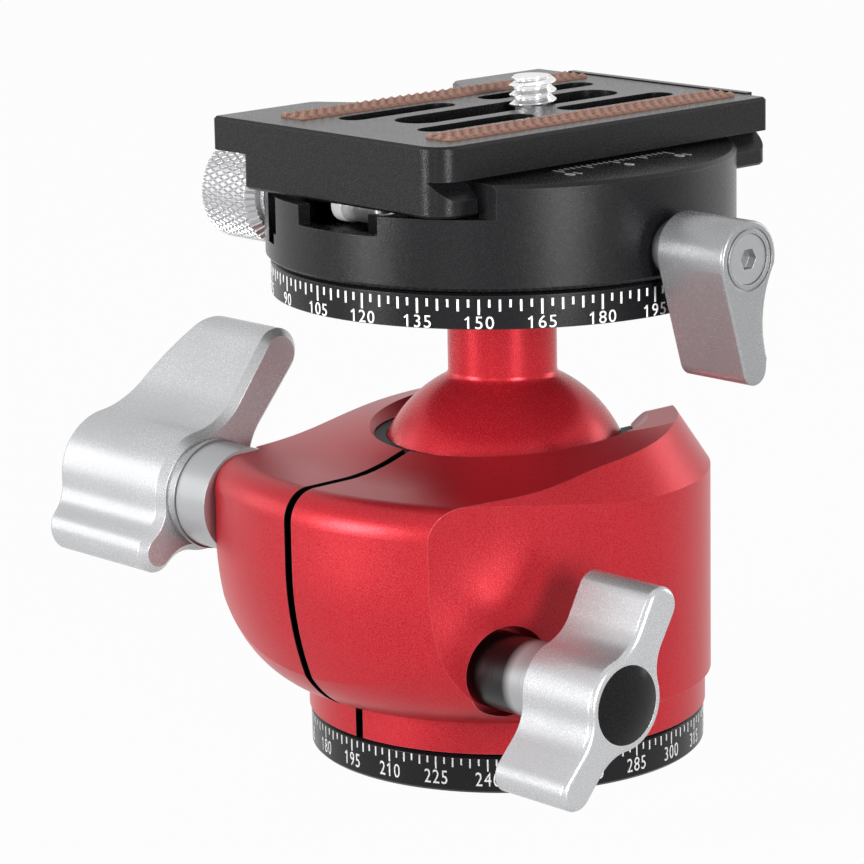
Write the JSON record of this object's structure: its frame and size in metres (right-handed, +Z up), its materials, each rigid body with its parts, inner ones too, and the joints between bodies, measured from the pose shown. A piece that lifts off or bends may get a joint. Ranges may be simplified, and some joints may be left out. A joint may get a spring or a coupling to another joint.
{
  "type": "tripod ball head",
  "caption": "Tripod ball head with a slit housing, ball and stem, panning quick-release clamp, sliding camera plate, winged clamping knobs, a pan lock lever and a knurled jaw knob.",
  "frame": {"origin": "centre of the base's bottom face, on the panning axis, at the mouth of the tripod thread", "axes": "+Z up along the panning axis; the knobs and the lever turn about X, the main knob on -X and the pan knob and lever on +X; the housing's slit faces -Y and the camera plate runs along Y"},
  "size_m": [0.0979, 0.0724, 0.0897],
  "materials": {
    "base_black": "satin anodised",
    "scale_black": "satin anodised",
    "clamp_black": "fine blasted anodised",
    "jaw_black": "fine blasted anodised",
    "plate_black": "fine blasted anodised",
    "housing_red": "fine blasted anodised",
    "ball_red": "satin anodised",
    "knob_grey": "fine blasted anodised",
    "pan_knob_grey": "fine blasted anodised",
    "lever_grey": "fine blasted anodised",
    "neck_grey": "turned",
    "plain_aluminium": "turned",
    "knurled_aluminium": "knurled",
    "steel": "machined",
    "ring_steel": "machined",
    "dark_steel": "blackened",
    "bright_steel": "bright",
    "camera_screw_steel": "bright",
    "lever_screw_steel": "satin",
    "brass": "turned",
    "slip_plastic": "matt",
    "washer_steel": "turned",
    "cap_black": "satin",
    "brown_rubber": "ribbed"
  },
  "bodies": {
    "base": {"base_disc": "base_black", "thread_bush": "steel", "pan_spindle": "plain_aluminium", "base_screws": "dark_steel", "thrust_washer": "slip_plastic"},
    "housing": {"housing": "housing_red", "pan_circlip": "steel", "mouth_liner": "slip_plastic", "ball_seat": "slip_plastic", "seat_spring": "steel", "seat_snap_ring": "steel", "main_insert": "steel", "main_bush": "neck_grey", "pan_insert": "steel"},
    "main_knob": {"main_knob": "knob_grey", "main_bolt": "steel", "main_washer": "ring_steel"},
    "pan_knob": {"pan_knob": "pan_knob_grey", "pan_cap": "cap_black", "pan_stud": "steel", "pan_sleeve": "neck_grey", "pan_washer": "slip_plastic"},
    "ball_pad": {"ball_front_pad": "slip_plastic"},
    "ball": {"ball_stem": "ball_red", "clamp_scale_disc": "scale_black", "clamp_hub": "plain_aluminium", "hub_screw": "dark_steel", "bearing_washer": "slip_plastic"},
    "clamp": {"clamp_body": "clamp_black", "guide_pin": "steel", "jaw_spring": "steel", "brake_shoe": "brass"},
    "moving_jaw": {"moving_jaw": "jaw_black"},
    "jaw_knob": {"jaw_knob": "knurled_aluminium", "drive_screw": "bright_steel", "jaw_washer": "washer_steel"},
    "lever": {"lock_lever": "lever_grey", "lever_screw": "lever_screw_steel", "lever_bush": "neck_grey", "lever_stud": "steel"},
    "plate": {"quick_plate": "plate_black", "front_strip": "brown_rubber", "back_strip": "brown_rubber", "stop_screws": "dark_steel"},
    "screw_clip": {"screw_clip": "steel"},
    "camera_screw": {"camera_screw": "camera_screw_steel"}
  },
  "joints": [
    {"name": "base_pan", "type": "hinge", "parent": "base", "child": "housing", "pos_m": [0, 0, 0.01], "axis": [0, 0, 1], "continuous": true},
    {"name": "main_knob_turn", "type": "hinge", "parent": "housing", "child": "main_knob", "pos_m": [-0.029, -0.028, 0.0342], "axis": [1, 0, 0], "range_deg": [-110, 5]},
    {"name": "pan_knob_turn", "type": "hinge", "parent": "housing", "child": "pan_knob", "pos_m": [0.0323, -0.0222, 0.0183], "axis": [1, 0, 0], "range_deg": [-30, 120]},
    {"name": "ball_lean", "type": "hinge", "parent": "housing", "child": "ball_pad", "pos_m": [0, 0, 0.0346], "axis": [0, 1, 0], "range_deg": [-5, 30]},
    {"name": "ball_tilt", "type": "hinge", "parent": "ball_pad", "child": "ball", "pos_m": [0, 0, 0.0346], "axis": [1, 0, 0], "range_deg": [-85, 20]},
    {"name": "clamp_pan", "type": "hinge", "parent": "ball", "child": "clamp", "pos_m": [0, 0, 0.0673], "axis": [0, 0, 1], "continuous": true},
    {"name": "lever_turn", "type": "hinge", "parent": "clamp", "child": "lever", "pos_m": [0.033, 0.0005, 0.0713], "axis": [1, 0, 0], "range_deg": [-50, 50]},
    {"name": "jaw_slide", "type": "slide", "parent": "clamp", "child": "moving_jaw", "axis": [-1, 0, 0], "range_m": [0, 0.003]},
    {"name": "jaw_knob_turn", "type": "hinge", "parent": "moving_jaw", "child": "jaw_knob", "pos_m": [-0.0235, -0.0169, 0.0743], "axis": [1, 0, 0], "range_deg": [0, 1080]},
    {"name": "plate_slide", "type": "slide", "parent": "clamp", "child": "plate", "axis": [0, 1, 0], "range_m": [-0.004, 0.004]},
    {"name": "screw_slide", "type": "slide", "parent": "plate", "child": "screw_clip", "axis": [0, 1, 0], "range_m": [-0.0203, 0.0113]},
    {"name": "camera_screw_turn", "type": "hinge", "parent": "screw_clip", "child": "camera_screw", "pos_m": [-0.0013, 0.0075, 0.0785], "axis": [0, 0, 1], "continuous": true}
  ],
  "couplings": [
    {"joint": "jaw_knob_turn", "follows": "jaw_slide", "rad_per_m": 6283.2}
  ]
}
